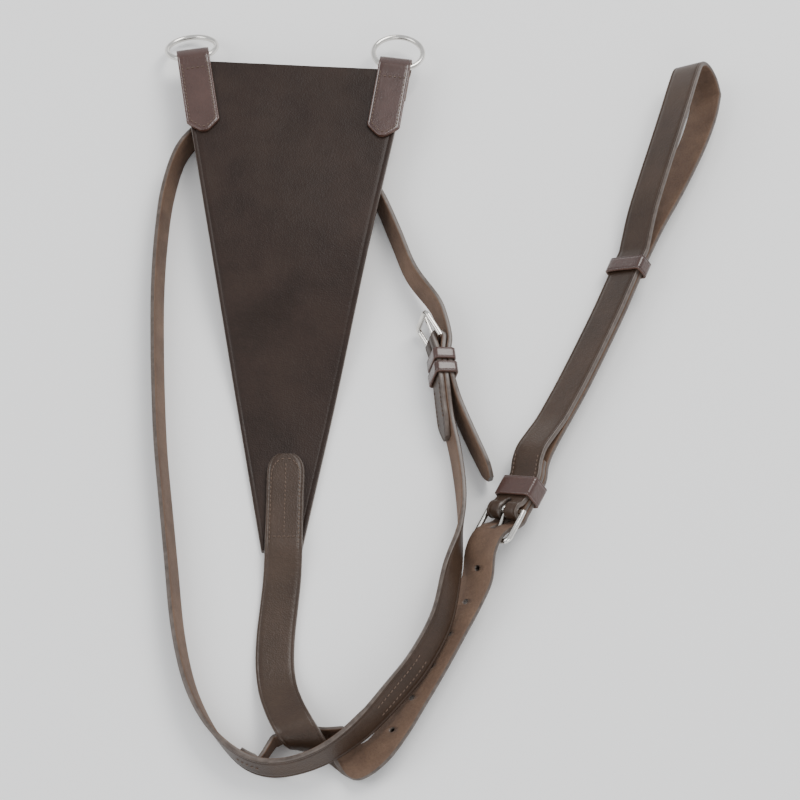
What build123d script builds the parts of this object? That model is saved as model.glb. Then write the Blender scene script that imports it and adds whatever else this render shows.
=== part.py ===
"""Bib martingale in dark leather: a triangular bib with two rings, a neck strap and a body strap.

Units are millimetres, +Z is up and the part lies on the plane Z = 0. Every strap is a ribbon through a
few key stations: where its middle runs, which way its width points and how wide it is there.
"""
import os
from math import atan2, ceil, cos, degrees, pi, radians, sin
from build123d import *

# ---- leather ----
body_width, body_thick = 25.0, 3.6      # body strap
neck_width, neck_thick = 19.0, 3.6      # neck strap
tab_width, tab_thick = 24.0, 2.4        # ring tabs
bib_thick = 3.4
bib_top, bib_bottom = 171.0, 27.0       # widths of the bib
bib_raised = 20.0                       # the bib's top lies on the neck strap
tunnel_width, tunnel_thick = 13.0, 2.8  # short strap that makes the tunnel for the body strap
keeper_thick = 2.0
layer = 3.8                             # from one strap leaf to the next that lies on it
# ---- metal ----
ring_outer, ring_wire = 41.0, 4.0
bar_radius, rail = 1.75, 3.6            # buckle bars and buckle rails
fold_radius = 3.75                      # middle of a leaf folded round a bar
neck_inner, neck_reach = 20.6, 20.0     # neck buckle: inner width, bar to far rail
girth_inner, girth_reach = 26.8, 24.0   # girth buckle, likewise
# ---- holes and thread ----
hole_pitch, hole_diameter = 25.0, 4.2
stitch_pitch, stitch_length, stitch_size = 5.0, 3.4, 0.9


def smooth(keys, steps=4):
    """Rows on a smooth curve through the key rows."""
    ends = [keys[0], *keys, keys[-1]]
    rows = []
    for quad in zip(ends, ends[1:], ends[2:], ends[3:]):
        for t in (i / steps for i in range(steps)):
            rows.append([
                b + 0.5 * t * (c - a + t * (2 * a - 5 * b + 4 * c - d + t * (3 * b - a - 3 * c + d)))
                for a, b, c, d in zip(*quad)
            ])
    return rows + [list(keys[-1])]


def leaning(keys, width, thick):
    """Key rows x, y, lean, lift to stations; lean tilts the right edge up from flat."""
    rows = []
    for i, (x, y, lean, lift) in enumerate(keys):
        before, after = keys[max(i - 1, 0)], keys[min(i + 1, len(keys) - 1)]
        run = Vector(after[0] - before[0], after[1] - before[1], 0).normalized()
        rise = radians(lean)
        across = Vector(run.Y, -run.X, 0) * cos(rise) + Vector(0, 0, sin(rise))
        height = width / 2 * abs(sin(rise)) + thick / 2 * abs(cos(rise)) + lift
        rows.append([x, y, height, *across, width])
    return rows


def frames(rows):
    """Middle, width direction, face direction and run of every station."""
    result = []
    for i, row in enumerate(rows):
        before, after = rows[max(i - 1, 0)], rows[min(i + 1, len(rows) - 1)]
        across = Vector(*row[3:6]).normalized()
        face = across.cross(Vector(*after[:3]) - Vector(*before[:3])).normalized()
        result.append((Vector(*row[:3]), across, face, face.cross(across)))
    return result


def shifted(rows, offsets):
    """The rows moved along their face direction, one offset for each."""
    return [
        [*(middle + face * offset), *row[3:]]
        for row, (middle, _, face, _), offset in zip(rows, frames(rows), offsets)
    ]


def fold(centre, across, first, out, width, radius, turns=6):
    """Half a turn round a bar, from the first side over the out side to the other side."""
    return [
        [*(centre + first * (radius * cos(pi * i / turns)) + out * (radius * sin(pi * i / turns))),
         *across, width]
        for i in range(turns + 1)
    ]


def ribbon(rows, thick, first=0, last=None):
    """Adds the leather strip through the rows, or through a part of them."""
    sections = []
    for row, (middle, across, _, run) in list(zip(rows, frames(rows)))[first:last]:
        with BuildSketch(Plane(middle, x_dir=across, z_dir=run)) as section:
            Rectangle(row[6], thick)
        sections.append(section.sketch)
    loft(sections, ruled=True)


def stitches_along(rows, first, last, side, height):
    """Stitches that follow a ribbon, `side` from its middle line and `height` out of its middle."""
    spots = frames(rows)
    for (a, across, face, _), (b, *_) in zip(spots[first:last], spots[first + 1:last + 1]):
        count = max(round((b - a).length / stitch_pitch), 1)
        for t in ((i + 0.5) / count for i in range(count)):
            spot = Plane(a + (b - a) * t + across * side + face * height, x_dir=b - a, z_dir=face)
            with Locations(spot):
                Box(stitch_length, stitch_size, stitch_size / 2)


def nearest(rows, x, y):
    """Index of the station closest to a spot."""
    return min(range(len(rows)), key=lambda i: (rows[i][0] - x) ** 2 + (rows[i][1] - y) ** 2)


def on_ribbon(rows, index, height):
    """Plane on a station: X along the ribbon, Y across it, Z out of its face."""
    middle, across, face, run = frames(rows)[index]
    return Plane(middle + face * height, x_dir=run, z_dir=run.cross(across))


def stitches(plane, points):
    """Short thread stitches on a plane along the line through the points."""
    for (x0, y0), (x1, y1) in zip(points, points[1:]):
        count = ceil(((x1 - x0) ** 2 + (y1 - y0) ** 2) ** 0.5 / stitch_pitch)
        for t in ((i + 0.5) / count for i in range(count)):
            turn = degrees(atan2(y1 - y0, x1 - x0))
            with Locations(plane * Pos(x0 + (x1 - x0) * t, y0 + (y1 - y0) * t) * Rot(0, 0, turn)):
                Box(stitch_length, stitch_size, stitch_size / 2,
                    align=(Align.CENTER, Align.CENTER, Align.MIN))


def keeper(plane, width, height, length):
    """Rectangular leather loop round a stack of leaves: X across, Y out of the face, Z along."""
    with BuildSketch(plane) as ends:
        RectangleRounded(width + 2 * keeper_thick, height + 2 * keeper_thick, 2.4)
        RectangleRounded(width, height, 0.6, mode=Mode.SUBTRACT)
    extrude(ends.sketch, amount=length / 2, both=True)


def buckle_frame(plane, inner, reach):
    """Round bar along X at the plane's origin, far rail at Y = reach."""
    with BuildSketch(plane.offset(-rail / 2)) as outline:
        with Locations((0, reach / 2)):
            RectangleRounded(inner + 2 * rail, reach + rail, 5)
            RectangleRounded(inner, reach - rail, 2.5, mode=Mode.SUBTRACT)
        Rectangle(inner, rail + 5, mode=Mode.SUBTRACT)
    extrude(outline.sketch, amount=rail)
    with Locations(plane * Rot(0, 90, 0)):
        Cylinder(bar_radius, inner + rail)


def tongue(plane, reach, drop):
    """Eye round the bar along X, pin along Y that ends `drop` under the far rail's middle."""
    with Locations(plane * Rot(0, 90, 0)):
        Cylinder(bar_radius + 1.5, 4)
    tip = plane * Pos(0, reach + 2.6, drop)
    root = plane * Pos(0, 2.2, 0)
    run = (tip.position - root.position).normalized()
    with BuildSketch(Plane(root.position, x_dir=plane.x_dir, z_dir=run)) as thick_end:
        Circle(1.5)
    with BuildSketch(Plane(tip.position, x_dir=plane.x_dir, z_dir=run)) as thin_end:
        Circle(1.0)
    loft([thick_end.sketch, thin_end.sketch])
    with Locations(plane * Rot(0, 90, 0)):
        Cylinder(bar_radius + 0.05, 8, mode=Mode.SUBTRACT)


def save(part, name):
    part.part.label = name
    export_step(part.part, f"parts/{name}.step")


os.makedirs("parts", exist_ok=True)

# ================= bib =================
bib_middle, bib_start, bib_end = -108.5, 254.0, -137.0


def bib_height(y):
    """Underside of the bib: raised over the neck strap, down to the ground at its narrow end."""
    t = min(max((130 - y) / 190, 0), 1)
    return 0.2 + bib_raised * (1 + cos(pi * t)) / 2


bib_rows = []
for i in range(25):
    t = i / 24
    y = bib_start + (bib_end - bib_start) * t
    edge = Vector(1, -0.058 * (1 - t), 0).normalized()
    bib_rows.append([bib_middle, y, bib_height(y) + bib_thick / 2, *edge,
                     bib_top + (bib_bottom - bib_top) * t])
with BuildPart() as bib:
    ribbon(bib_rows, bib_thick)
save(bib, "bib_panel")

# ================= rings and their tabs =================
tab_top = bib_height(200) + bib_thick + 0.1 + tab_thick / 2
tab_under = bib_height(200) - 0.1 - tab_thick / 2
bib_level = bib_height(200) + bib_thick / 2
tunnel_dip = radians(15)
ring_radius = (ring_outer - ring_wire) / 2
ring_hang = (ring_radius ** 2 - (tab_width / 2) ** 2) ** 0.5   # hinge line to the ring's middle
hinge_out = 9.5

for side, edge_spot, away, length, ring_dip in (
    ("left", Vector(-183.2, 256.7, 0), Vector(-0.164, 0.986, 0), 65, radians(25)),
    ("right", Vector(-34.7, 248.1, 0), Vector(0.142, 0.990, 0), 61, radians(11)),
):
    away = away.normalized()
    across = Vector(away.Y, -away.X, 0)
    up = Vector(0, 0, 1)
    slope = away * cos(tunnel_dip) - up * sin(tunnel_dip)
    square = away * sin(tunnel_dip) + up * cos(tunnel_dip)
    turn = edge_spot + up * bib_level + slope * (hinge_out - 0.7)
    leaf = [(-length, tab_top, 6), (5 - length, tab_top, 17), (9 - length, tab_top, tab_width),
            (-30, tab_top, tab_width), (-12, tab_top, tab_width), (-4, tab_top, tab_width),
            (0, tab_top + 0.4, tab_width), (4.5, tab_top + 0.9, tab_width)]
    back = [(4, tab_under - 3.3, tab_width), (0, tab_under - 0.8, tab_width),
            (-5, tab_under, tab_width), (-22, tab_under, tab_width)]
    rows = [[*(edge_spot + away * d + up * z), *across, w] for d, z, w in leaf]
    rows += fold(turn, across, square, slope, tab_width, 4.8)
    rows += [[*(edge_spot + away * d + up * z), *across, w] for d, z, w in back]
    with BuildPart() as tab:
        ribbon(rows, tab_thick)
    save(tab, f"ring_tab_{side}")

    hinge = edge_spot + up * bib_level + slope * hinge_out
    hang = away * cos(ring_dip) - up * sin(ring_dip)
    with BuildPart() as ring:
        with Locations(Plane(hinge + hang * ring_hang, x_dir=across, z_dir=across.cross(hang))):
            Torus(ring_radius, ring_wire / 2)
    save(ring, f"ring_{side}")

    top = Plane(edge_spot + up * (tab_top + tab_thick / 2 + 0.02), x_dir=across, z_dir=(0, 0, 1))
    inset = tab_width / 2 - 2.4
    with BuildPart() as thread:
        stitches(top, [(-inset, -6), (-inset, 12 - length), (-2.4, 4.5 - length)])
        stitches(top, [(inset, -6), (inset, 12 - length), (2.4, 4.5 - length)])
        stitches(top, [(-inset + 3, -8), (inset - 3, -8)])
    save(thread, f"ring_tab_{side}_stitching")

# ================= neck strap =================
neck_bar = Vector(-5, 17, 15.2)
neck_run = Vector(0.10, -0.995, 0).normalized()
neck_rise = radians(102)
neck_right = Vector(neck_run.Y, -neck_run.X, 0)
neck_across = neck_right * cos(neck_rise) + Vector(0, 0, sin(neck_rise))
neck_out = neck_across.cross(neck_run)


def neck_spot(along, out):
    return neck_bar + neck_run * along + neck_out * out


def neck_row(along, out, width=neck_width):
    return [*neck_spot(along, out), *neck_across, width]


# right side, round the front and back up the left side
neck_keys = leaning([
    (3, -42, 102, 1), (8, -70, 102, 0.1), (11, -100, 100, 0.1), (9.8, -128, 88, 6), (3.8, -161, 57, 13.6),
    (-3, -193, 48, 11.6), (-17, -222, 46, 11.8), (-34, -245, 50, 11.5), (-53, -267, 62, 10.5),
    (-72, -283, 72, 11.6), (-91, -290, 78, 6), (-110, -291, 80, 0.5), (-127, -286, 86, 0.1),
    (-143, -272, 98, 0.1), (-156, -253, 104, 0.1), (-166, -229, 105, 0.1), (-174, -195, 105, 0.1),
    (-180, -152, 105, 0.1), (-186, -108, 105, 0.1), (-192, -63, 105, 0.1), (-196, -20, 105, 0.1),
    (-199, 22, 105, 0.1), (-201, 64, 105, 0.1), (-201, 107, 105, 0.1), (-198, 150, 105, 0.1),
    (-188, 188, 101, 0.1), (-164, 212, 96, 0.1), (-132, 218, 94, 0.1), (-98, 206, 94, 0.1),
    (-69, 180, 96, 0.1), (-47, 146, 100, 0.2), (-34, 112, 104, 1), (-22, 77, 104, 2.5),
], neck_width, neck_thick)
billet_keys = leaning([
    (9, -30, 100, 1), (17, -52, 100, 0.5), (25, -72, 98, 0.4), (28.5, -81, 98, 0.4), (31, -87, 98, 0.4),
], neck_width, neck_thick)
for row, width in zip(billet_keys[-3:], (neck_width, 16, 6)):
    row[6] = width
neck_main = smooth([neck_row(10, 1.9), neck_row(20, 1.9), neck_row(35, 1.9), *neck_keys,
                    neck_row(-32, 2.6), neck_row(-16, 6.6), neck_row(0, 7.8), neck_row(10, 5.9),
                    neck_row(20, 5.9), neck_row(30, 5.9), *billet_keys])
turned_back = nearest(neck_main[:40], 5, -58) + 1
neck_back = shifted(neck_main[:turned_back], [-layer] * turned_back)[::-1]
for row, width in zip(neck_back, (8, 15)):
    row[6] = width
neck_rows = (neck_back + fold(neck_bar, neck_across, -neck_out, -neck_run, neck_width, fold_radius)
             + neck_main)
split_front = nearest(neck_rows, -127, -286)
split_top = nearest(neck_rows, -132, 218)

neck_frame_turn = 25                    # the frame stands a little open
with BuildPart() as neck_end:
    ribbon(neck_rows, neck_thick, 0, split_front + 1)
    with Locations(Plane(neck_bar, x_dir=neck_run, z_dir=neck_out)):
        Box(18, 5.4, 14, mode=Mode.SUBTRACT)
save(neck_end, "neck_strap_buckle_end")
with BuildPart() as neck_middle:
    ribbon(neck_rows, neck_thick, split_front, split_top + 1)
save(neck_middle, "neck_strap_side")
with BuildPart() as neck_billet:
    ribbon(neck_rows, neck_thick, split_top)
save(neck_billet, "neck_strap_billet_end")

neck_frame_side = Plane(neck_bar, x_dir=neck_across,
                        z_dir=-neck_out.rotate(Axis((0, 0, 0), neck_across), neck_frame_turn))
with BuildPart() as neck_frame:
    buckle_frame(neck_frame_side, neck_inner, neck_reach)
save(neck_frame, "neck_buckle_frame")
with BuildPart() as neck_tongue:
    tongue(neck_frame_side, neck_reach, -4.2)
save(neck_tongue, "neck_buckle_tongue")

out_of_strap = neck_thick / 2 + stitch_size / 4 + 0.1
with BuildPart() as neck_thread:
    for seam_side in (-7, 7):
        stitches_along(neck_rows, 3, len(neck_back) - 9, seam_side, out_of_strap)
save(neck_thread, "neck_buckle_stitching")

stack = 3 * layer
for name, along, wide, high in (("fixed", 14.5, 19.3, stack + 0.6), ("running", 25.5, 20.0, stack + 1.2)):
    with BuildPart() as neck_keeper:
        keeper(Plane(neck_spot(along, 2.1), x_dir=neck_across, z_dir=neck_run), wide, high, 8.5)
    save(neck_keeper, f"neck_{name}_keeper")

# ================= body strap =================
girth_run = Vector(0.45, 0.893, 0).normalized()
girth_rise = radians(36)
girth_across = Vector(girth_run.Y, -girth_run.X, 0) * cos(girth_rise) + Vector(0, 0, sin(girth_rise))
girth_face = girth_across.cross(girth_run)
girth_low = 2 * layer                   # lower leaf under the buckle bar
girth_lift = 3.0                        # the keepers hold the straps off the ground
girth_ground = body_width / 2 * sin(girth_rise) + body_thick / 2 * cos(girth_rise) + girth_lift
girth_bar = Vector(40, -115, girth_ground + girth_low * girth_face.Z)


def girth_spot(along, out):
    return girth_bar + girth_run * along + girth_face * out


def girth_row(along, out):
    return [*girth_spot(along, out), *girth_across, body_width]


# sewn on the bib, grain side up, then down to the front of the neck strap
def flat_row(x, y, z, width=body_width):
    return [x, y, z, 1, 0, 0, width]


sewn = bib_thick + 0.1 + body_thick / 2
upper_keys = [flat_row(-107, y, bib_height(y) + sewn, w)
              for y, w in ((-66, 12), (-70, 20), (-78, 25), (-98, 25), (-118, 25), (-128, 25), (-138, 25))]
upper_keys += [
    flat_row(-107.5, -158, 3.0), flat_row(-109, -178, 2.0), flat_row(-110.5, -198, 2.0),
    [-110.5, -218, 3.0, 0.98, 0.08, 0, 25], [-108, -236, 6.5, 0.95, 0.25, 0, 25],
    [-103, -252, 13, 0.91, 0.40, 0.05, 25], [-96.5, -266, 18.2, 0.88, 0.40, 0.15, 25],
    [-89.5, -275, 14.2, 0.88, 0.12, 0.28, 25], [-83, -279.5, 7.6, 0.86, -0.30, 0.20, 25],
    [-72, -284, 3.9, 0.62, -0.75, 0.10, 25], [-58, -286, 5.3, 0.30, -0.92, 0.25, 25],
    [-45, -280, 8.2, 0.42, -0.75, 0.50, 25],
]
lower_keys = leaning([(-34, -266, 37, 0.2), (-24, -249, 38, 0.2), (-10, -224, 38, 0.2), (3, -199, 38, 0.2)],
                     body_width, body_thick)
girth_keys = [girth_row(-66, -8.2), girth_row(-50, -6.0), girth_row(-36, 2.4), girth_row(-24, 4.1),
              girth_row(-15, 0.6), girth_row(-8, -5.2), girth_row(-3, -7.7), girth_row(2, -girth_low),
              girth_row(9, -girth_low), girth_row(30, -girth_low)]
double_keys = leaning([(63, -68, 36, 2.4), (89, -17, 36, 1.5), (114, 36, 37, 2.4), (127, 66, 38, 3.1),
                       (138, 92, 38, 3.0)], body_width, body_thick)
loop_keys = leaning([(150, 118, 38, 2.1), (163, 143, 38, 1.2), (175, 168, 38, 0.5), (186, 193, 38, 0.2),
                     (194, 216, 38, 0.1), (198, 234, 38, 0.3)], body_width, body_thick)
body_main = smooth(upper_keys + lower_keys + girth_keys + double_keys + loop_keys)
loop_edge = (0.74, -0.24, 0.62)
return_keys = [
    [195.5, 246, 13.5, *loop_edge, 25], [189.5, 251, 22, *loop_edge, 25], [183.5, 247, 29, *loop_edge, 25],
    [178, 231, 32.5, *loop_edge, 25], [171, 208, 33, *loop_edge, 25], [162, 180, 31.5, *loop_edge, 25],
    [152, 150, 27.8, *loop_edge, 25], [143, 122, 21.8, 0.73, -0.29, 0.62, 25],
]
bar_at = nearest(body_main, *tuple(girth_spot(2, 0))[:2])
near_loop = nearest(body_main, 138, 92)
turned = nearest(body_main, 63, -68)
doubled = body_main[bar_at:near_loop + 1]
ramp = turned - bar_at
offsets = [2 * layer + rise for rise in (3.7, 3.2, 2.3, 1.3, 0.5)]
offsets += [2 * layer] * (ramp - 4) + [1.5 * layer] + [layer] * (len(doubled) - ramp - 2)
top_leaf = shifted(doubled, offsets)[::-1]
under_leaf = shifted(doubled[:ramp], [layer] * ramp)
loop_rows = smooth([body_main[-2], body_main[-1], *return_keys, top_leaf[0], top_leaf[1]])[4:-5]
girth_fold = fold(girth_bar, girth_across, girth_face, -girth_run, body_width, fold_radius)
body_rows = body_main + loop_rows[1:] + top_leaf + girth_fold + under_leaf
split_neck = nearest(body_main, -110.5, -198)
split_loop = nearest(body_main, 127, 66)

girth_plane = Plane(girth_bar, x_dir=girth_across, z_dir=-girth_face)
hole_centre = girth_spot(-14, -0.6)
with BuildPart() as body_upper:
    ribbon(body_rows, body_thick, 0, split_neck + 1)
save(body_upper, "body_strap_bib_end")
with BuildPart() as body_run:
    ribbon(body_rows, body_thick, split_neck, split_loop + 1)
    distance, first_hole = 0.0, 52.0
    spots = frames(body_main)
    holes_cut = 0
    for i in range(bar_at, split_neck, -1):
        step = (spots[i][0] - spots[i - 1][0]).length
        while holes_cut < 6 and distance + step > first_hole + hole_pitch * holes_cut:
            t = (first_hole + hole_pitch * holes_cut - distance) / step
            middle = spots[i][0] + (spots[i - 1][0] - spots[i][0]) * t
            with Locations(Plane(middle, x_dir=spots[i][1], z_dir=spots[i][2])):
                Cylinder(hole_diameter / 2, 3 * body_thick, mode=Mode.SUBTRACT)
            holes_cut += 1
        distance += step
    with Locations(Plane(hole_centre, x_dir=girth_run, z_dir=girth_face)):
        Box(14, 4.4, 9, mode=Mode.SUBTRACT)
save(body_run, "body_strap_girth_run")
with BuildPart() as body_loop:
    ribbon(body_rows, body_thick, split_loop)
    with Locations(Plane(girth_bar, x_dir=girth_run, z_dir=girth_face)):
        Box(18, 5.4, 14, mode=Mode.SUBTRACT)
save(body_loop, "body_strap_girth_loop")

seam = bib_height(-100) + bib_thick + 0.1 + body_thick + 0.02
with BuildPart() as bib_thread:
    stitches(Plane((-107, 0, seam)), [(-9.5, -127), (-9.5, -80), (-7, -73.5), (-2, -70), (2, -70), (7, -73.5),
                                      (9.5, -80), (9.5, -127)])
    stitches(Plane((-107, 0, seam)), [(0, -75), (0, -125)])
    stitches(Plane((-107, 0, seam)), [(-7, -126.5), (7, -126.5)])
save(bib_thread, "bib_strap_stitching")
out_of_leaf = body_thick / 2 + stitch_size / 4 + 0.1
seam_from = len(body_main) + len(loop_rows) - 1 + len(top_leaf) - 1 - ramp
with BuildPart() as girth_thread:
    for seam_side in (-9.8, 9.8):
        stitches_along(body_rows, seam_from + 1, seam_from + 4, seam_side, -out_of_leaf)
save(girth_thread, "girth_buckle_stitching")

girth_frame_side = Plane(girth_bar, x_dir=girth_across, z_dir=-girth_face)
with BuildPart() as girth_frame:
    buckle_frame(girth_frame_side, girth_inner, girth_reach)
save(girth_frame, "girth_buckle_frame")
with BuildPart() as girth_tongue:
    tongue(girth_frame_side, girth_reach, 4.2)
save(girth_tongue, "girth_buckle_tongue")

with BuildPart() as girth_fixed:
    keeper(Plane(girth_spot(19, -girth_low + layer), x_dir=girth_across, z_dir=girth_run),
           26.2, 3 * layer + 0.8, 15)
save(girth_fixed, "girth_fixed_keeper")
slide_at = on_ribbon(body_rows, nearest(body_main, 132, 78), layer / 2)
with BuildPart() as girth_running:
    keeper(Plane(slide_at.origin, x_dir=slide_at.y_dir, z_dir=slide_at.x_dir), 26.4, 2 * layer + 1.2, 12)
save(girth_running, "girth_running_keeper")

# ================= tunnel piece on the neck strap =================
beside = neck_thick / 2 + tunnel_thick / 2 + 0.1
sewn_from, sewn_to = nearest(neck_main, -17, -222), nearest(neck_main, -50, -264)
end_from, end_to = nearest(neck_main, -119, -289), nearest(neck_main, -133, -281)
along_right = shifted(neck_main[sewn_from:sewn_to], [-beside] * (sewn_to - sewn_from))
along_left = shifted(neck_main[end_from:end_to], [-beside] * (end_to - end_from))
for row in along_right + along_left:
    row[6] = tunnel_width
tunnel_keys = leaning([(-64, -268, 74, 4), (-78, -267, 80, 0.2), (-95, -265.5, 82, 0.2), (-110, -273, 82, 0.6)],
                      tunnel_width, tunnel_thick)
with BuildPart() as tunnel:
    ribbon(along_right + smooth(tunnel_keys) + along_left, tunnel_thick)
save(tunnel, "neck_tunnel_strap")
with BuildPart() as tunnel_thread:
    stitches_along(neck_main, sewn_from, sewn_to - 1, 0, out_of_strap)
    stitches_along(neck_main, end_from, end_to - 1, 0, out_of_strap)
save(tunnel_thread, "neck_tunnel_stitching")
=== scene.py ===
"""Bib martingale, dark brown leather with nickel hardware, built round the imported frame."""

from math import cos, hypot, pi, radians, sin

import bmesh
import bpy
from mathutils import Matrix, Vector, noise


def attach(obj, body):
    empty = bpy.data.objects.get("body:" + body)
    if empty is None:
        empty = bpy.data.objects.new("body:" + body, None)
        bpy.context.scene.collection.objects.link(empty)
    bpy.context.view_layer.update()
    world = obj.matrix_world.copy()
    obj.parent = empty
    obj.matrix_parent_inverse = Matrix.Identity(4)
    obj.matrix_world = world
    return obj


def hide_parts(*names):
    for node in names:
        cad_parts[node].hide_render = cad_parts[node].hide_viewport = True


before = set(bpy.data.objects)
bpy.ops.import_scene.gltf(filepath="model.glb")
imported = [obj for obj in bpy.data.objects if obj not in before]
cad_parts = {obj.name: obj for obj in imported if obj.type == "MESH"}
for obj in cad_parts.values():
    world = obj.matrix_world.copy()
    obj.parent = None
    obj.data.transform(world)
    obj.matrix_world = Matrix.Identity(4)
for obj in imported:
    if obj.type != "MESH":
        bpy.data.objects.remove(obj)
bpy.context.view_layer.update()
MM = 0.001

# ---- sizes of the leather and the metal, in millimetres ----
body_width, body_thick = 25.0, 3.6
neck_width, neck_thick = 19.0, 3.6
tab_width, tab_thick = 24.0, 2.4
bib_thick, bib_top, bib_bottom, bib_raised = 3.4, 171.0, 27.0, 20.0
tunnel_width, tunnel_thick = 13.0, 2.8
keeper_thick, layer = 2.0, 3.8
ring_outer, ring_wire = 41.0, 4.0
bar_radius, wire_radius, rail, fold_radius = 1.75, 1.85, 3.6, 3.75
neck_inner, neck_reach, girth_inner, girth_reach = 20.6, 20.0, 26.8, 24.0
hole_pitch, hole_diameter = 25.0, 4.2
stitch_pitch = 3.3
UP = Vector((0, 0, 1))


# ================= stations, as the frame's straps have them =================
def smooth(keys, steps=4):
    ends = [keys[0], *keys, keys[-1]]
    rows = []
    for quad in zip(ends, ends[1:], ends[2:], ends[3:]):
        for t in (i / steps for i in range(steps)):
            rows.append([
                b + 0.5 * t * (c - a + t * (2 * a - 5 * b + 4 * c - d + t * (3 * b - a - 3 * c + d)))
                for a, b, c, d in zip(*quad)
            ])
    return rows + [list(keys[-1])]


def leaning(keys, width, thick):
    rows = []
    for i, (x, y, lean, lift) in enumerate(keys):
        before, after = keys[max(i - 1, 0)], keys[min(i + 1, len(keys) - 1)]
        run = Vector((after[0] - before[0], after[1] - before[1], 0)).normalized()
        rise = radians(lean)
        across = Vector((run.y, -run.x, 0)) * cos(rise) + UP * sin(rise)
        height = width / 2 * abs(sin(rise)) + thick / 2 * abs(cos(rise)) + lift
        rows.append([x, y, height, *across, width])
    return rows


def frames(rows, closed=False):
    result = []
    n = len(rows)
    for i, row in enumerate(rows):
        if closed:
            before, after = rows[i - 1], rows[(i + 1) % n]
        else:
            before, after = rows[max(i - 1, 0)], rows[min(i + 1, n - 1)]
        across = Vector(row[3:6]).normalized()
        face = across.cross(Vector(after[:3]) - Vector(before[:3])).normalized()
        result.append((Vector(row[:3]), across, face, face.cross(across)))
    return result


def shifted(rows, offsets):
    return [
        [*(middle + face * offset), *row[3:]]
        for row, (middle, _, face, _), offset in zip(rows, frames(rows), offsets)
    ]


def fold(centre, across, first, out, width, radius, turns=6):
    return [
        [*(centre + first * (radius * cos(pi * i / turns)) + out * (radius * sin(pi * i / turns))),
         *across, width]
        for i in range(turns + 1)
    ]


def nearest(rows, x, y):
    return min(range(len(rows)), key=lambda i: (rows[i][0] - x) ** 2 + (rows[i][1] - y) ** 2)


# ================= materials =================
def new_material(name):
    mat = bpy.data.materials.new(name)
    mat.use_nodes = True
    nodes, links = mat.node_tree.nodes, mat.node_tree.links
    return mat, nodes, links, nodes["Principled BSDF"]


def noise_node(nodes, links, coord, scale, detail=4, rough=0.55):
    n = nodes.new("ShaderNodeTexNoise")
    n.inputs["Scale"].default_value = scale
    n.inputs["Detail"].default_value = detail
    n.inputs["Roughness"].default_value = rough
    links.new(coord, n.inputs["Vector"])
    return n


def ramp(nodes, links, source, stops):
    r = nodes.new("ShaderNodeValToRGB")
    links.new(source, r.inputs["Fac"])
    while len(r.color_ramp.elements) < len(stops):
        r.color_ramp.elements.new(0.5)
    for e, (pos, col) in zip(r.color_ramp.elements, stops):
        e.position = pos
        e.color = (*col, 1) if len(col) == 3 else col
    return r


def grey(v):
    return (v, v, v)


def leather(name, dark, light, rough, coat=0.0, pore=900, bump=0.35, scuff=0.4, gloss=0.5):
    """Bridle leather, grain side: fine pores, slow colour drift and a few pale scuffs."""
    mat, nodes, links, shader = new_material(name)
    coord = nodes.new("ShaderNodeTexCoord").outputs["Object"]
    drift = noise_node(nodes, links, coord, 22, 5)
    colour = ramp(nodes, links, drift.outputs["Fac"], [(0.32, dark), (0.72, light)])
    fine = noise_node(nodes, links, coord, 420, 3)
    speck = ramp(nodes, links, fine.outputs["Fac"], [(0.35, grey(0.82)), (0.65, grey(1.0))])
    mix = nodes.new("ShaderNodeMix")
    mix.data_type, mix.blend_type = "RGBA", "MULTIPLY"
    mix.inputs["Factor"].default_value = 0.7
    links.new(colour.outputs["Color"], mix.inputs["A"])
    links.new(speck.outputs["Color"], mix.inputs["B"])
    marks = noise_node(nodes, links, coord, 60, 8, 0.75)
    mark_mask = ramp(nodes, links, marks.outputs["Fac"], [(0.66, grey(0)), (0.74, grey(scuff))])
    scuffed = nodes.new("ShaderNodeMix")
    scuffed.data_type = "RGBA"
    links.new(mark_mask.outputs["Color"], scuffed.inputs["Factor"])
    links.new(mix.outputs["Result"], scuffed.inputs["A"])
    scuffed.inputs["B"].default_value = (light[0] * 1.9, light[1] * 1.9, light[2] * 1.9, 1)
    links.new(scuffed.outputs["Result"], shader.inputs["Base Color"])
    sheen = ramp(nodes, links, drift.outputs["Fac"],
                 [(0.3, grey(rough - 0.06)), (0.75, grey(rough + 0.08))])
    links.new(sheen.outputs["Color"], shader.inputs["Roughness"])
    cells = nodes.new("ShaderNodeTexVoronoi")
    cells.inputs["Scale"].default_value = pore
    links.new(coord, cells.inputs["Vector"])
    wrinkle = noise_node(nodes, links, coord, 160, 6, 0.6)
    add = nodes.new("ShaderNodeMath")
    add.operation = "MULTIPLY_ADD"
    add.inputs[1].default_value = 0.55
    links.new(cells.outputs["Distance"], add.inputs[0])
    links.new(wrinkle.outputs["Fac"], add.inputs[2])
    b = nodes.new("ShaderNodeBump")
    b.inputs["Strength"].default_value = bump
    b.inputs["Distance"].default_value = 0.0006
    links.new(add.outputs["Value"], b.inputs["Height"])
    links.new(b.outputs["Normal"], shader.inputs["Normal"])
    shader.inputs["Specular IOR Level"].default_value = gloss
    shader.inputs["Coat Weight"].default_value = coat
    shader.inputs["Coat Roughness"].default_value = 0.25
    return mat


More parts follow.
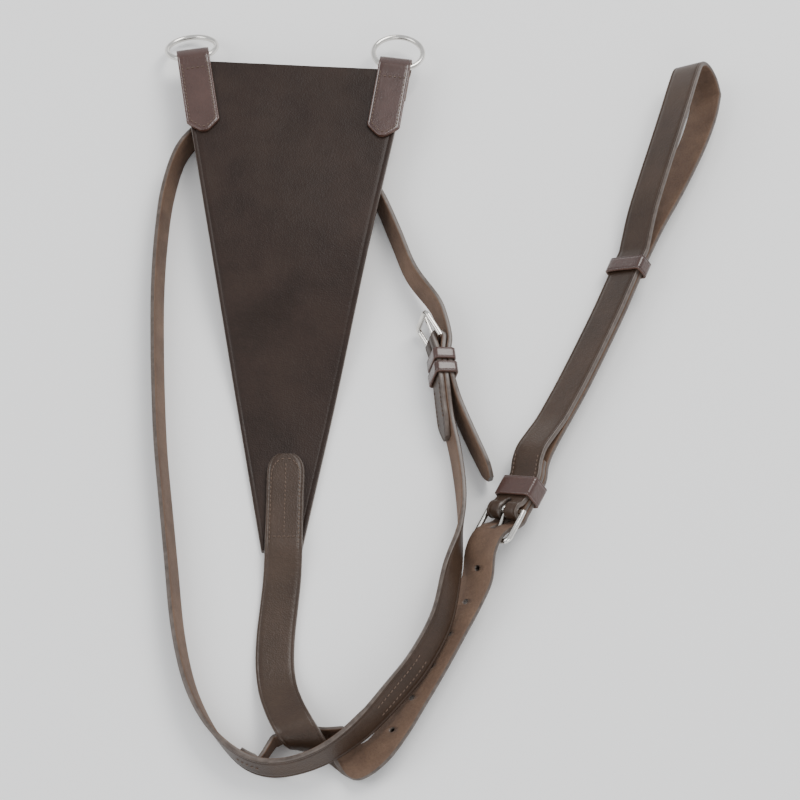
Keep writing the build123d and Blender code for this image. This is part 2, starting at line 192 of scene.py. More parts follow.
def flesh(name, dark, light):
    """Flesh side: matt, fibrous, lighter brown."""
    mat, nodes, links, shader = new_material(name)
    coord = nodes.new("ShaderNodeTexCoord").outputs["Object"]
    drift = noise_node(nodes, links, coord, 35, 6, 0.65)
    colour = ramp(nodes, links, drift.outputs["Fac"], [(0.3, dark), (0.7, light)])
    fibre = noise_node(nodes, links, coord, 700, 4, 0.7)
    speck = ramp(nodes, links, fibre.outputs["Fac"], [(0.35, grey(0.75)), (0.65, grey(1.05))])
    mix = nodes.new("ShaderNodeMix")
    mix.data_type, mix.blend_type = "RGBA", "MULTIPLY"
    mix.inputs["Factor"].default_value = 0.8
    links.new(colour.outputs["Color"], mix.inputs["A"])
    links.new(speck.outputs["Color"], mix.inputs["B"])
    links.new(mix.outputs["Result"], shader.inputs["Base Color"])
    shader.inputs["Roughness"].default_value = 0.72
    b = nodes.new("ShaderNodeBump")
    b.inputs["Strength"].default_value = 0.45
    b.inputs["Distance"].default_value = 0.0006
    links.new(fibre.outputs["Fac"], b.inputs["Height"])
    links.new(b.outputs["Normal"], shader.inputs["Normal"])
    return mat


def edge_paint(name, dark, light):
    """Burnished and waxed edge of a strap."""
    mat, nodes, links, shader = new_material(name)
    coord = nodes.new("ShaderNodeTexCoord").outputs["Object"]
    layers = noise_node(nodes, links, coord, 240, 4)
    colour = ramp(nodes, links, layers.outputs["Fac"], [(0.3, dark), (0.7, light)])
    links.new(colour.outputs["Color"], shader.inputs["Base Color"])
    gloss = ramp(nodes, links, layers.outputs["Fac"], [(0.3, grey(0.28)), (0.7, grey(0.42))])
    links.new(gloss.outputs["Color"], shader.inputs["Roughness"])
    b = nodes.new("ShaderNodeBump")
    b.inputs["Strength"].default_value = 0.25
    b.inputs["Distance"].default_value = 0.0004
    links.new(layers.outputs["Fac"], b.inputs["Height"])
    links.new(b.outputs["Normal"], shader.inputs["Normal"])
    return mat


def nickel(name):
    mat, nodes, links, shader = new_material(name)
    coord = nodes.new("ShaderNodeTexCoord").outputs["Object"]
    smear = noise_node(nodes, links, coord, 120, 5)
    colour = ramp(nodes, links, smear.outputs["Fac"],
                  [(0.3, (0.62, 0.60, 0.56)), (0.7, (0.80, 0.78, 0.74))])
    links.new(colour.outputs["Color"], shader.inputs["Base Color"])
    gloss = ramp(nodes, links, smear.outputs["Fac"], [(0.3, grey(0.12)), (0.7, grey(0.26))])
    links.new(gloss.outputs["Color"], shader.inputs["Roughness"])
    shader.inputs["Metallic"].default_value = 1.0
    return mat


def waxed_thread(name, dark, light):
    mat, nodes, links, shader = new_material(name)
    coord = nodes.new("ShaderNodeTexCoord").outputs["Object"]
    twist = noise_node(nodes, links, coord, 2600, 2)
    colour = ramp(nodes, links, twist.outputs["Fac"], [(0.35, dark), (0.65, light)])
    links.new(colour.outputs["Color"], shader.inputs["Base Color"])
    shader.inputs["Roughness"].default_value = 0.55
    b = nodes.new("ShaderNodeBump")
    b.inputs["Strength"].default_value = 0.5
    b.inputs["Distance"].default_value = 0.0003
    links.new(twist.outputs["Fac"], b.inputs["Height"])
    links.new(b.outputs["Normal"], shader.inputs["Normal"])
    return mat


BIB = leather("bib_leather", (0.017, 0.0090, 0.0062), (0.031, 0.0175, 0.0125), 0.44, scuff=0.5, gloss=0.22)
STRAP = leather("strap_leather", (0.032, 0.0180, 0.0110), (0.056, 0.0330, 0.0210), 0.38,
                coat=0.05, gloss=0.33)
TAB = leather("tab_leather", (0.040, 0.0155, 0.0110), (0.075, 0.0310, 0.0225), 0.28, coat=0.4, bump=0.25)
FLESH = flesh("strap_flesh", (0.080, 0.043, 0.026), (0.160, 0.094, 0.058))
BIB_FLESH = flesh("bib_flesh", (0.07, 0.038, 0.024), (0.12, 0.070, 0.045))
EDGE = edge_paint("strap_edge", (0.055, 0.040, 0.032), (0.11, 0.085, 0.070))
TAB_EDGE = edge_paint("tab_edge", (0.060, 0.026, 0.018), (0.11, 0.055, 0.040))
METAL = nickel("nickel_plate")
THREAD = waxed_thread("waxed_thread", (0.070, 0.043, 0.029), (0.150, 0.098, 0.068))


# ================= mesh builders =================
def make_object(name, verts, faces, materials, indices=None, smooth_angle=40):
    mesh = bpy.data.meshes.new(name)
    mesh.from_pydata([tuple(Vector(v) * MM) for v in verts], [], faces)
    for m in materials:
        mesh.materials.append(m)
    if indices:
        mesh.polygons.foreach_set("material_index", indices)
    mesh.polygons.foreach_set("use_smooth", [True] * len(mesh.polygons))
    mesh.validate()
    bm = bmesh.new()
    bm.from_mesh(mesh)
    bmesh.ops.recalc_face_normals(bm, faces=bm.faces)
    for e in bm.edges:
        if len(e.link_faces) == 2 and e.calc_face_angle(0) > radians(smooth_angle):
            e.smooth = False
    bm.to_mesh(mesh)
    bm.free()
    obj = bpy.data.objects.new(name, mesh)
    bpy.context.scene.collection.objects.link(obj)
    return obj


def section(width, thick, grain, crease=2.1, depth=0.28, corner=0.85, fill=5):
    """Outline of a strap across its run: (across, out of the face, zone), once round."""
    half, top = width / 2, thick / 2
    corner = min(corner, thick * 0.35)
    pts = []
    side = []                                           # rounded corner, from the edge up to the face
    for t in (3, 2, 1, 0):
        a = pi / 2 * t / 3
        side.append((corner * (1 - sin(a)), top - corner * (1 - cos(a))))
    groove = [(crease - 0.55, top), (crease - 0.2, top - depth * 0.7), (crease, top - depth),
              (crease + 0.2, top - depth * 0.7), (crease + 0.6, top)] if crease else []
    start = crease + 0.6 if crease else corner
    middle = [(start + (half - start) * i / fill, top) for i in range(1, fill + 1)]
    left = side + groove + middle                       # from the edge to the middle, grain side
    zones_left = ["edge"] * 2 + ["grain"] * (len(left) - 2)
    for (inset, height), zone in zip(left, zones_left):
        pts.append((-half + inset, height * grain, zone))
    for (inset, height), zone in list(zip(left, zones_left))[:-1][::-1]:
        pts.append((half - inset, height * grain, zone))
    low = [(0.0, -top + 0.6), (0.25, -top + 0.18), (0.7, -top)]
    for inset, height in low:
        pts.append((half - inset, height * grain, "flesh"))
    for i in range(1, 4):
        pts.append((half - 0.7 - (width - 1.4) * i / 4, -top * grain, "flesh"))
    for inset, height in low[::-1]:
        pts.append((-half + inset, height * grain, "flesh"))
    return pts


def strap(name, rows, thick, grain, mats, closed=False, fine=3, wobble=0.0, **shape):
    """A leather strip through the stations, with rounded edges and a crease line on its grain side."""
    rows = rows if closed else smooth(rows, fine)
    verts, faces, indices = [], [], []
    zones = {"grain": 0, "edge": 1, "flesh": 2}
    spots = frames(rows, closed)
    count = 0
    for row, (middle, across, face, _) in zip(rows, spots):
        outline = section(row[6], thick, grain, **shape)
        count = len(outline)
        for a, n, _ in outline:
            p = middle + across * a + face * n
            if wobble:
                p += face * (noise.noise(p * 0.02) * wobble + noise.noise(p * 0.07) * wobble * 0.35)
            verts.append(p)
    rings = len(rows)
    for i in range(rings if closed else rings - 1):
        j = (i + 1) % rings
        for k in range(count):
            m = (k + 1) % count
            faces.append((i * count + k, i * count + m, j * count + m, j * count + k))
            here, beyond = outline[k][2], outline[m][2]
            indices.append(zones[here] if here == beyond else zones["edge"])
    if not closed:
        faces += [tuple(range(count))[::-1], tuple(range((rings - 1) * count, rings * count))]
        indices += [1, 1]
    return make_object(name, verts, faces, mats, indices)


def tube(name, points, radii, mat, closed=False, sides=20, normal=None):
    """Round bar along the points."""
    verts, faces = [], []
    n = len(points)
    points = [Vector(p) for p in points]
    up = Vector(normal) if normal else None
    for i, p in enumerate(points):
        before = points[i - 1] if closed or i else points[0]
        after = points[(i + 1) % n] if closed or i < n - 1 else points[-1]
        run = (after - before).normalized()
        side = (up.cross(run) if up else run.orthogonal()).normalized()
        out = run.cross(side).normalized()
        r = radii[i] if isinstance(radii, (list, tuple)) else radii
        for k in range(sides):
            a = 2 * pi * k / sides
            verts.append(p + side * (r * cos(a)) + out * (r * sin(a)))
    for i in range(n if closed else n - 1):
        j = (i + 1) % n
        for k in range(sides):
            m = (k + 1) % sides
            faces.append((i * sides + k, i * sides + m, j * sides + m, j * sides + k))
    if not closed:
        faces += [tuple(range(sides))[::-1], tuple(range((n - 1) * sides, n * sides))]
    return make_object(name, verts, faces, [mat])


def cut(obj, cutters):
    """Cuts the cutters out of a strap, once and for all, and removes them."""
    for c in cutters:
        m = obj.modifiers.new("cut", "BOOLEAN")
        m.operation, m.solver, m.object = "DIFFERENCE", "FAST", c
    done = bpy.data.meshes.new_from_object(obj.evaluated_get(bpy.context.evaluated_depsgraph_get()))
    obj.modifiers.clear()
    obj.data = done
    for c in cutters:
        bpy.data.objects.remove(c)


def punch(name, middle, normal, radius, depth, long_by=0.0, along=None):
    """Cutter for a round or oblong hole."""
    normal = Vector(normal).normalized()
    x = Vector(along).normalized() if along else normal.orthogonal().normalized()
    y = normal.cross(x)
    ring = []
    for k in range(32):
        a = 2 * pi * k / 32
        ring.append(x * (radius * cos(a) + (long_by if cos(a) > 0 else -long_by)) + y * (radius * sin(a)))
    verts = [Vector(middle) + normal * end + p for end in (-depth, depth) for p in ring]
    faces = [tuple(range(32))[::-1], tuple(range(32, 64))]
    faces += [(k, (k + 1) % 32, 32 + (k + 1) % 32, 32 + k) for k in range(32)]
    return make_object(name, verts, faces, [EDGE])


def stitch_mesh(name, spots, length=2.6, radius=0.42):
    """Thread: every stitch is a short rope that dips into the leather at both ends."""
    verts, faces = [], []
    sides, rings = 7, 7
    for middle, run, out in spots:
        run = (run - out * run.dot(out)).normalized()
        run = (Matrix.Rotation(radians(7), 3, out) @ run)
        side = out.cross(run)
        base = len(verts)
        for i in range(rings):
            t = i / (rings - 1) * 2 - 1
            centre = middle + run * (length / 2 * t) + out * (0.16 - 0.75 * t ** 4)
            r = radius * (1 - 0.35 * t * t)
            for k in range(sides):
                a = 2 * pi * k / sides
                verts.append(centre + side * (r * cos(a)) + out * (r * sin(a)))
        for i in range(rings - 1):
            for k in range(sides):
                m = (k + 1) % sides
                faces.append((base + i * sides + k, base + i * sides + m,
                              base + (i + 1) * sides + m, base + (i + 1) * sides + k))
        faces.append(tuple(base + k for k in range(sides))[::-1])
        faces.append(tuple(base + (rings - 1) * sides + k for k in range(sides)))
    return make_object(name, verts, faces, [THREAD], smooth_angle=80)


def seam_on_plane(origin, x_dir, y_dir, points):
    """Stitch spots along straight runs on a flat leaf."""
    out = x_dir.cross(y_dir).normalized()
    spots = []
    for (x0, y0), (x1, y1) in zip(points, points[1:]):
        span = hypot(x1 - x0, y1 - y0)
        n = max(round(span / stitch_pitch), 1)
        for i in range(n):
            t = (i + 0.5) / n
            spots.append((origin + x_dir * (x0 + (x1 - x0) * t) + y_dir * (y0 + (y1 - y0) * t),
                          (x_dir * (x1 - x0) + y_dir * (y1 - y0)).normalized(), out))
    return spots


def seam_on_rows(rows, first, last, side, height):
    """Stitch spots that follow a strap."""
    spots, carry = [], 0.0
    here = frames(rows)
    sign = 1 if height > 0 else -1
    for (a, across, face, _), (b, across_b, face_b, _) in zip(here[first:last], here[first + 1:last + 1]):
        span = (b - a).length
        while carry < span:
            t = carry / span
            x, n = across.lerp(across_b, t), face.lerp(face_b, t).normalized()
            spots.append((a.lerp(b, t) + x * side + n * height, (b - a).normalized(), n * sign))
            carry += stitch_pitch
        carry -= span
    return spots


def put(obj, body, slot, *replaced):
    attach(obj, body)
    if replaced:
        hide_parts(*replaced)
    return obj


# ================= bib =================
def bib_height(y):
    t = min(max((130 - y) / 190, 0), 1)
    return 0.2 + bib_raised * (1 + cos(pi * t)) / 2


bib_rows = []
for i in range(25):
    t = i / 24
    y = 254.0 - 391.0 * t
    edge = Vector((1, -0.058 * (1 - t), 0)).normalized()
    bib_rows.append([-108.5, y, bib_height(y) + bib_thick / 2, *edge, bib_top + (bib_bottom - bib_top) * t])
bib = strap("bib", bib_rows, bib_thick, -1, [BIB, EDGE, BIB_FLESH], fine=6, crease=3.2, depth=0.32, fill=26,
            wobble=0.35)
put(bib, "leatherwork", "bib_leather", "bib_panel")

# ================= rings and their tabs =================
tab_top = bib_height(200) + bib_thick + 0.1 + tab_thick / 2
tab_under = bib_height(200) - 0.1 - tab_thick / 2
bib_level = bib_height(200) + bib_thick / 2
tunnel_dip = radians(15)
ring_radius = (ring_outer - ring_wire) / 2
ring_hang = (ring_radius ** 2 - (tab_width / 2) ** 2) ** 0.5
hinge_out = 9.5

for side, edge_spot, away, length, ring_dip in (
    ("left", Vector((-183.2, 256.7, 0)), Vector((-0.164, 0.986, 0)), 65, radians(25)),
    ("right", Vector((-34.7, 248.1, 0)), Vector((0.142, 0.990, 0)), 61, radians(11)),
):
    away = away.normalized()
    across = Vector((away.y, -away.x, 0))
    slope = away * cos(tunnel_dip) - UP * sin(tunnel_dip)
    square = away * sin(tunnel_dip) + UP * cos(tunnel_dip)
    turn = edge_spot + UP * bib_level + slope * (hinge_out - 0.7)
    leaf = [(-length, tab_top, 4.5), (1 - length, tab_top, 8), (4 - length, tab_top, 14.7),
            (7.5 - length, tab_top, 22), (9.5 - length, tab_top, tab_width),
            (13 - length, tab_top, tab_width), (-30, tab_top, tab_width),
            (-12, tab_top, tab_width), (-4, tab_top, tab_width), (0, tab_top + 0.4, tab_width),
            (4.5, tab_top + 0.9, tab_width)]
    back = [(4, tab_under - 3.3, tab_width), (0, tab_under - 0.8, tab_width),
            (-5, tab_under, tab_width), (-22, tab_under, tab_width)]
    rows = [[*(edge_spot + away * d + UP * z), *across, w] for d, z, w in leaf]
    rows += fold(turn, across, square, slope, tab_width, 4.8)
    rows += [[*(edge_spot + away * d + UP * z), *across, w] for d, z, w in back]
    tab = strap(f"tab_{side}", rows, tab_thick, 1, [TAB, TAB_EDGE, FLESH], fine=4, crease=1.5, depth=0.2)
    put(tab, "leatherwork", "tab_leather", f"ring_tab_{side}")

    middle = edge_spot + UP * bib_level + slope * hinge_out
    hang = away * cos(ring_dip) - UP * sin(ring_dip)
    heart = middle + hang * ring_hang
    circle = [heart + across * (ring_radius * cos(a)) + hang * (ring_radius * sin(a))
              for a in (2 * pi * k / 96 for k in range(96))]
    ring = tube(f"rein_ring_{side}", circle, ring_wire / 2, METAL, closed=True, sides=24,
                normal=across.cross(hang))
    put(ring, f"{side}_ring", "nickel", f"ring_{side}")

    top = edge_spot + UP * (tab_top + tab_thick / 2)
    inset = tab_width / 2 - 2.6
    spots = seam_on_plane(top, across, away, [(-inset, -2), (-inset, 10.5 - length), (-2, 3.2 - length),
                                              (2, 3.2 - length), (inset, 10.5 - length), (inset, -2)])
    spots += seam_on_plane(top, across, away, [(-inset + 2, -7), (inset - 2, -7)])
    seam = stitch_mesh(f"tab_{side}_thread", spots)
    put(seam, "leatherwork", "thread", f"ring_tab_{side}_stitching")

# ================= neck strap =================
neck_bar = Vector((-5, 17, 15.2))
neck_run = Vector((0.10, -0.995, 0)).normalized()
neck_rise = radians(102)
neck_across = Vector((neck_run.y, -neck_run.x, 0)) * cos(neck_rise) + UP * sin(neck_rise)
neck_out = neck_across.cross(neck_run)


def neck_spot(along, out):
    return neck_bar + neck_run * along + neck_out * out


def neck_row(along, out, width=neck_width):
    return [*neck_spot(along, out), *neck_across, width]


neck_keys = leaning([
    (3, -42, 102, 1), (8, -70, 102, 0.1), (11, -100, 100, 0.1), (9.8, -128, 88, 6), (3.8, -161, 57, 13.6),
    (-3, -193, 48, 11.6), (-17, -222, 46, 11.8), (-34, -245, 50, 11.5), (-53, -267, 62, 10.5),
    (-72, -283, 72, 11.6), (-91, -290, 78, 6), (-110, -291, 80, 0.5), (-127, -286, 86, 0.1),
    (-143, -272, 98, 0.1), (-156, -253, 104, 0.1), (-166, -229, 105, 0.1), (-174, -195, 105, 0.1),
    (-180, -152, 105, 0.1), (-186, -108, 105, 0.1), (-192, -63, 105, 0.1), (-196, -20, 105, 0.1),
    (-199, 22, 105, 0.1), (-201, 64, 105, 0.1), (-201, 107, 105, 0.1), (-198, 150, 105, 0.1),
    (-188, 188, 101, 0.1), (-164, 212, 96, 0.1), (-132, 218, 94, 0.1), (-98, 206, 94, 0.1),
    (-69, 180, 96, 0.1), (-47, 146, 100, 0.2), (-34, 112, 104, 1), (-22, 77, 104, 2.5),
], neck_width, neck_thick)
billet_keys = leaning([
    (9, -30, 100, 1), (17, -52, 100, 0.5), (25, -72, 98, 0.4), (28.5, -81, 98, 0.4), (31, -87, 98, 0.4),
], neck_width, neck_thick)
for row, width in zip(billet_keys[-3:], (neck_width, 16, 6)):
    row[6] = width
neck_main = smooth([neck_row(10, 1.9), neck_row(20, 1.9), neck_row(35, 1.9), *neck_keys,
                    neck_row(-32, 2.6), neck_row(-16, 6.6), neck_row(0, 7.8), neck_row(10, 5.9),
                    neck_row(20, 5.9), neck_row(30, 5.9), *billet_keys])
turned_back = nearest(neck_main[:40], 5, -58) + 1
neck_back = shifted(neck_main[:turned_back], [-layer] * turned_back)[::-1]
for row, width in zip(neck_back, (8, 15)):
    row[6] = width
neck_fold = fold(neck_bar, neck_across, -neck_out, -neck_run, neck_width, fold_radius)
neck_rows = neck_back + neck_fold + neck_main
neck_strap = strap("neck_strap", neck_rows, neck_thick, 1, [STRAP, EDGE, FLESH], fine=3)
cut(neck_strap, [punch("slot", neck_bar, neck_out, 2.7, 7, long_by=6.5, along=neck_run)])
put(neck_strap, "leatherwork", "strap_leather",
    "neck_strap_buckle_end", "neck_strap_side", "neck_strap_billet_end")

spots = []
for seam_side in (-7, 7):
    spots += seam_on_rows(neck_rows, 2, len(neck_back) - 9, seam_side, neck_thick / 2)
put(stitch_mesh("neck_buckle_thread", spots), "leatherwork", "thread", "neck_buckle_stitching")


# ================= buckles =================
def buckle(name, bar, across, outward, inner, reach):
    """Half buckle: a round-wire frame with a bar; its bent tongue is made separately by tongue()."""
    ahead = outward.cross(across)
    half = inner / 2 + rail / 2
    corner = 4.0
    path, radii = [], []
    arcs = [((half - corner, reach - corner), 0), ((-half + corner, reach - corner), pi / 2)]
    spots = [(half, 0.0), (half, 4.0), (half, 9.0)]
    for (cx, cy), start in arcs:
        for k in range(9):
            a = start + pi / 2 * k / 8
            spots.append((cx + corner * cos(a), cy + corner * sin(a)))
    spots += [(-half, 9.0), (-half, 4.0), (-half, 0.0)]
    spots += [(-half + 1.2, 0.0), (-inner / 2 + 1.5, 0.0), (0.0, 0.0), (inner / 2 - 1.5, 0.0)]
    for x, y in spots:
        path.append(bar + across * x + ahead * y)
        on_bar = abs(y) < 0.01 and abs(x) < half - 1
        radii.append(bar_radius if on_bar else wire_radius)
    return tube(name, path, radii, METAL, closed=True, sides=20, normal=outward), ahead


def tongue(name, bar, outward, ahead, reach, drop):
    """Open eye round the bar and a tapered pin that ends past the far rail."""
    eye = bar_radius + 1.25
    path, radii = [], []
    for k in range(17):
        a = radians(-60) - radians(300) * k / 16
        path.append(bar + ahead * (eye * cos(a)) + outward * (eye * sin(a)))
        radii.append(1.15)
    tip = bar + ahead * (reach + 2.6) + outward * drop
    start = bar + ahead * (eye + 1.2) + outward * (0.4 if drop > 0 else -0.4)
    for k in range(1, 13):
        t = k / 12
        path.append(start.lerp(tip, t))
        radii.append(1.35 - 0.45 * t)
    return tube(name, path, radii, METAL, sides=16)


turn_open = Matrix.Rotation(radians(25), 3, neck_across)
neck_outward = -(turn_open @ neck_out)
neck_frame, neck_ahead = buckle("neck_buckle_frame_wire", neck_bar, neck_across, neck_outward,
                                neck_inner, neck_reach)
put(neck_frame, "neck_buckle", "nickel", "neck_buckle_frame")
neck_pin = tongue("neck_buckle_pin", neck_bar, neck_outward, neck_ahead, neck_reach, -4.0)
put(neck_pin, "neck_pin", "nickel", "neck_buckle_tongue")


def keeper(name, heart, across, run, width, height, length, body, node):
    """Leather loop round a stack of leaves."""
    out = across.cross(run)
    wide, high, corner = width / 2 + keeper_thick / 2, height / 2 + keeper_thick / 2, 2.0
    rows = []
    for sx, sy, start in ((1, 1, 0), (-1, 1, 90), (-1, -1, 180), (1, -1, 270)):
        for k in range(6):
            a = radians(start + 90 * k / 5)
            x = sx * (wide - corner) + corner * cos(a)
            y = sy * (high - corner) + corner * sin(a)
            rows.append([*(heart + across * x + out * y), *run, length])
    full = []
    for i, row in enumerate(rows):
        full.append(row)
        if i % 6 == 5:
            nxt = rows[(i + 1) % len(rows)]
            for k in range(1, 6):
                t = k / 6
                full.append([a + (b - a) * t for a, b in zip(row, nxt)])
    spots = frames(full, True)
    sign = 1 if (spots[0][0] - heart).dot(spots[0][2]) > 0 else -1
    obj = strap(name, full, keeper_thick, sign, [TAB, TAB_EDGE, FLESH], closed=True, crease=1.2, depth=0.22)
    return put(obj, body, "keeper_leather", node)


stack = 3 * layer
keeper("neck_keeper_fixed", neck_spot(14.5, 2.1), neck_across, neck_run, 19.3, stack + 0.6, 8.5,
       "leatherwork", "neck_fixed_keeper")
keeper("neck_keeper_running", neck_spot(25.5, 2.1), neck_across, neck_run, 20.0, stack + 1.2, 8.5,
       "neck_slider", "neck_running_keeper")

# ================= body strap =================
girth_run = Vector((0.45, 0.893, 0)).normalized()
girth_rise = radians(36)
girth_across = Vector((girth_run.y, -girth_run.x, 0)) * cos(girth_rise) + UP * sin(girth_rise)
girth_face = girth_across.cross(girth_run)
girth_low = 2 * layer
girth_lift = 3.0
girth_ground = body_width / 2 * sin(girth_rise) + body_thick / 2 * cos(girth_rise) + girth_lift
girth_bar = Vector((40, -115, girth_ground + girth_low * girth_face.z))


def girth_spot(along, out):
    return girth_bar + girth_run * along + girth_face * out


def girth_row(along, out):
    return [*girth_spot(along, out), *girth_across, body_width]


def flat_row(x, y, z, width=body_width):
    return [x, y, z, 1, 0, 0, width]


sewn = bib_thick + 0.1 + body_thick / 2
upper_keys = [flat_row(-107, y, bib_height(y) + sewn, w)
              for y, w in ((-66, 12), (-70, 20), (-78, 25), (-98, 25), (-118, 25), (-128, 25), (-138, 25))]
upper_keys += [
    flat_row(-107.5, -158, 3.0), flat_row(-109, -178, 2.0), flat_row(-110.5, -198, 2.0),
    [-110.5, -218, 3.0, 0.98, 0.08, 0, 25], [-108, -236, 6.5, 0.95, 0.25, 0, 25],
    [-103, -252, 13, 0.91, 0.40, 0.05, 25], [-96.5, -266, 18.2, 0.88, 0.40, 0.15, 25],
    [-89.5, -275, 14.2, 0.88, 0.12, 0.28, 25], [-83, -279.5, 7.6, 0.86, -0.30, 0.20, 25],
    [-72, -284, 3.9, 0.62, -0.75, 0.10, 25], [-58, -286, 5.3, 0.30, -0.92, 0.25, 25],
    [-45, -280, 8.2, 0.42, -0.75, 0.50, 25],
]
lower_keys = leaning([(-34, -266, 37, 0.2), (-24, -249, 38, 0.2), (-10, -224, 38, 0.2), (3, -199, 38, 0.2)],
                     body_width, body_thick)
girth_keys = [girth_row(-66, -8.2), girth_row(-50, -6.0), girth_row(-36, 2.4), girth_row(-24, 4.1),
              girth_row(-15, 0.6), girth_row(-8, -5.2), girth_row(-3, -7.7), girth_row(2, -girth_low),
              girth_row(9, -girth_low), girth_row(30, -girth_low)]
double_keys = leaning([(63, -68, 36, 2.4), (89, -17, 36, 1.5), (114, 36, 37, 2.4), (127, 66, 38, 3.1),
                       (138, 92, 38, 3.0)], body_width, body_thick)
loop_keys = leaning([(150, 118, 38, 2.1), (163, 143, 38, 1.2), (175, 168, 38, 0.5), (186, 193, 38, 0.2),
                     (194, 216, 38, 0.1), (198, 234, 38, 0.3)], body_width, body_thick)
body_main = smooth(upper_keys + lower_keys + girth_keys + double_keys + loop_keys)
loop_edge = (0.74, -0.24, 0.62)
return_keys = [
    [195.5, 246, 13.5, *loop_edge, 25], [189.5, 251, 22, *loop_edge, 25], [183.5, 247, 29, *loop_edge, 25],
    [178, 231, 32.5, *loop_edge, 25], [171, 208, 33, *loop_edge, 25], [162, 180, 31.5, *loop_edge, 25],
    [152, 150, 27.8, *loop_edge, 25], [143, 122, 21.8, 0.73, -0.29, 0.62, 25],
]
bar_at = nearest(body_main, *girth_spot(2, 0)[:2])
near_loop = nearest(body_main, 138, 92)
turned = nearest(body_main, 63, -68)
doubled = body_main[bar_at:near_loop + 1]
ramp_rows = turned - bar_at
offsets = [2 * layer + rise for rise in (3.7, 3.2, 2.3, 1.3, 0.5)]
offsets += [2 * layer] * (ramp_rows - 4) + [1.5 * layer] + [layer] * (len(doubled) - ramp_rows - 2)
top_leaf = shifted(doubled, offsets)[::-1]
under_leaf = shifted(doubled[:ramp_rows], [layer] * ramp_rows)
loop_rows = smooth([body_main[-2], body_main[-1], *return_keys, top_leaf[0], top_leaf[1]])[4:-5]
girth_fold = fold(girth_bar, girth_across, girth_face, -girth_run, body_width, fold_radius)
body_rows = body_main + loop_rows[1:] + top_leaf + girth_fold + under_leaf

body_strap = strap("body_strap", body_rows, body_thick, -1, [STRAP, EDGE, FLESH], fine=3)
first_hole, holes, cutters, walked, cut_holes = 52.0, 6, [], 0.0, 0
here = frames(body_main)
for i in range(bar_at, 40, -1):
    step = (here[i][0] - here[i - 1][0]).length
    while cut_holes < holes and walked + step > first_hole + hole_pitch * cut_holes:
        t = (first_hole + hole_pitch * cut_holes - walked) / step
        cutters.append(punch(f"hole_{cut_holes}", here[i][0].lerp(here[i - 1][0], t), here[i][2],
                             hole_diameter / 2, 3))
        cut_holes += 1
    walked += step
cutters.append(punch("tongue_hole", girth_spot(-14, -0.6), girth_face, 2.2, 4.5,
                     long_by=4.6, along=girth_run))
cutters.append(punch("fold_slot", girth_bar, girth_face, 2.7, 6.2, long_by=6.5, along=girth_run))
cut(body_strap, cutters)
put(body_strap, "leatherwork", "strap_leather",
    "body_strap_bib_end", "body_strap_girth_run", "body_strap_girth_loop")

top = Vector((-107, 0, bib_height(-100) + bib_thick + 0.1 + body_thick))
EAST, NORTH = Vector((1, 0, 0)), Vector((0, 1, 0))
spots = seam_on_plane(top, EAST, NORTH, [(-9.6, -134), (-9.6, -80), (-8, -75), (-4.6, -70.8), (0, -69.4),
                                         (4.6, -70.8), (8, -75), (9.6, -80), (9.6, -134)])
spots += seam_on_plane(top, EAST, NORTH, [(0, -73), (0, -126)])
spots += seam_on_plane(top, EAST, NORTH, [(-8, -128.5), (8, -128.5)])
put(stitch_mesh("bib_strap_thread", spots), "leatherwork", "thread", "bib_strap_stitching")

seam_from = len(body_main) + len(loop_rows) - 1 + len(top_leaf) - 1 - ramp_rows
spots = []
for seam_side in (-9.8, 9.8):
    spots += seam_on_rows(body_rows, seam_from + 1, seam_from + 5, seam_side, -body_thick / 2)
put(stitch_mesh("girth_buckle_thread", spots), "leatherwork", "thread", "girth_buckle_stitching")

girth_frame, girth_ahead = buckle("girth_buckle_frame_wire", girth_bar, girth_across, -girth_face, girth_inner,
                                  girth_reach)
put(girth_frame, "leatherwork", "nickel", "girth_buckle_frame")
girth_pin = tongue("girth_buckle_pin", girth_bar, -girth_face, girth_ahead, girth_reach, 4.0)
put(girth_pin, "leatherwork", "nickel", "girth_buckle_tongue")

keeper("girth_keeper_fixed", girth_spot(19, -girth_low + layer), girth_across, girth_run, 26.2,
       3 * layer + 0.8, 15, "leatherwork", "girth_fixed_keeper")
slide_from = nearest(body_main, 132, 78)
slide_mid, slide_across, slide_face, slide_run = frames(body_rows)[slide_from]
keeper("girth_keeper_running", slide_mid + slide_face * (layer / 2), slide_across, slide_run, 26.4,
       2 * layer + 1.2, 12, "girth_slider", "girth_running_keeper")

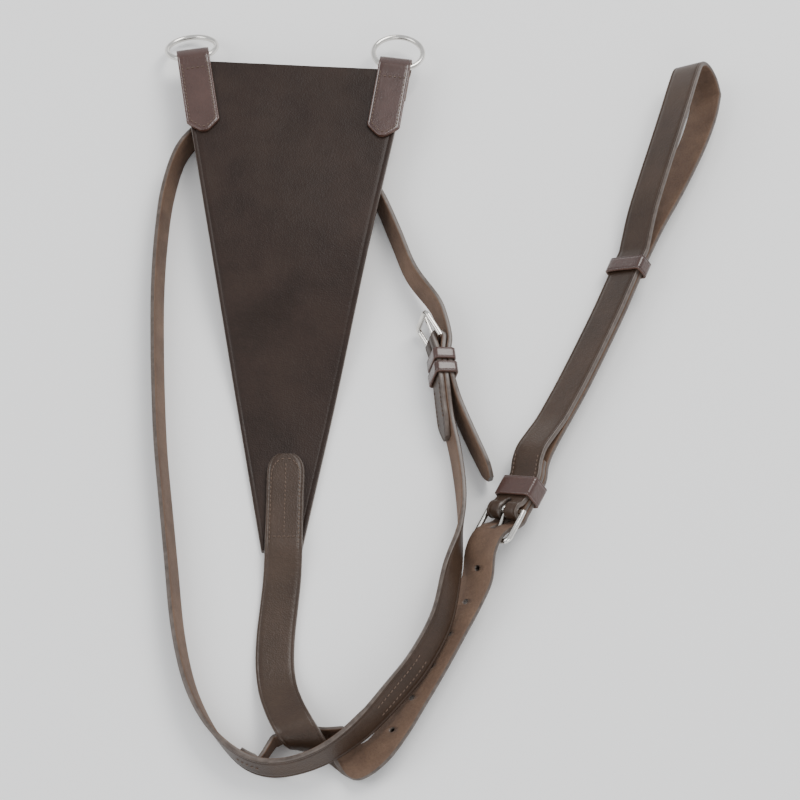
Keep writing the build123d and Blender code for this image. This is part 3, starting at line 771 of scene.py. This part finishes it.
# ================= tunnel strap =================
beside = neck_thick / 2 + tunnel_thick / 2 + 0.1
sewn_from, sewn_to = nearest(neck_main, -17, -222), nearest(neck_main, -50, -264)
end_from, end_to = nearest(neck_main, -119, -289), nearest(neck_main, -133, -281)
along_right = shifted(neck_main[sewn_from:sewn_to], [-beside] * (sewn_to - sewn_from))
along_left = shifted(neck_main[end_from:end_to], [-beside] * (end_to - end_from))
for row in along_right + along_left:
    row[6] = tunnel_width
tunnel_keys = leaning([(-64, -268, 74, 4), (-78, -267, 80, 0.2), (-95, -265.5, 82, 0.2), (-110, -273, 82, 0.6)],
                      tunnel_width, tunnel_thick)
tunnel = strap("tunnel_strap", along_right + smooth(tunnel_keys) + along_left, tunnel_thick, -1,
               [STRAP, EDGE, FLESH], fine=3, crease=1.4, depth=0.2)
put(tunnel, "leatherwork", "strap_leather", "neck_tunnel_strap")
spots = seam_on_rows(neck_main, sewn_from, sewn_to - 1, -3.4, neck_thick / 2)
spots += seam_on_rows(neck_main, sewn_from, sewn_to - 1, 3.4, neck_thick / 2)
spots += seam_on_rows(neck_main, end_from, end_to - 1, 0, neck_thick / 2)
put(stitch_mesh("tunnel_thread", spots), "leatherwork", "thread", "neck_tunnel_stitching")

# ================= studio =================
floor_mat, nodes, links, shader = new_material("pale_floor")
shader.inputs["Base Color"].default_value = (0.93, 0.93, 0.925, 1)
shader.inputs["Roughness"].default_value = 0.9
floor = make_object("floor", [(-6000, -6000, 0), (6000, -6000, 0), (6000, 6000, 0), (-6000, 6000, 0)],
                    [(0, 1, 2, 3)], [floor_mat])

world = bpy.data.worlds.new("studio")
bpy.context.scene.world = world
world.use_nodes = True
world.node_tree.nodes["Background"].inputs["Color"].default_value = (0.95, 0.97, 1.0, 1)
world.node_tree.nodes["Background"].inputs["Strength"].default_value = 0.85


def area_light(name, spot, aim, size, power, colour=(1, 1, 1)):
    data = bpy.data.lights.new(name, "AREA")
    data.size, data.energy, data.color = size, power, colour
    obj = bpy.data.objects.new(name, data)
    obj.location = spot
    obj.rotation_euler = (Vector(aim) - Vector(spot)).to_track_quat("-Z", "Y").to_euler()
    bpy.context.scene.collection.objects.link(obj)


area_light("key", (0.9, 1.3, 1.8), (0, 0, 0), 1.2, 38, (1.0, 0.985, 0.96))
area_light("fill", (-1.6, -0.2, 1.5), (0, 0, 0), 1.4, 16)
area_light("low", (0.5, -1.5, 0.9), (0, 0, 0), 1.0, 7)

camera = bpy.data.cameras.new("camera")
camera.lens, camera.sensor_width = 97.8, 36
eye = bpy.data.objects.new("camera", camera)
look = Vector((-0.030, -0.020, 0))
tilt = radians(60)
eye.location = look + Vector((0, -cos(tilt), sin(tilt))) * 1.5
eye.rotation_euler = (look - eye.location).to_track_quat("-Z", "Y").to_euler()
bpy.context.scene.collection.objects.link(eye)
bpy.context.scene.camera = eye
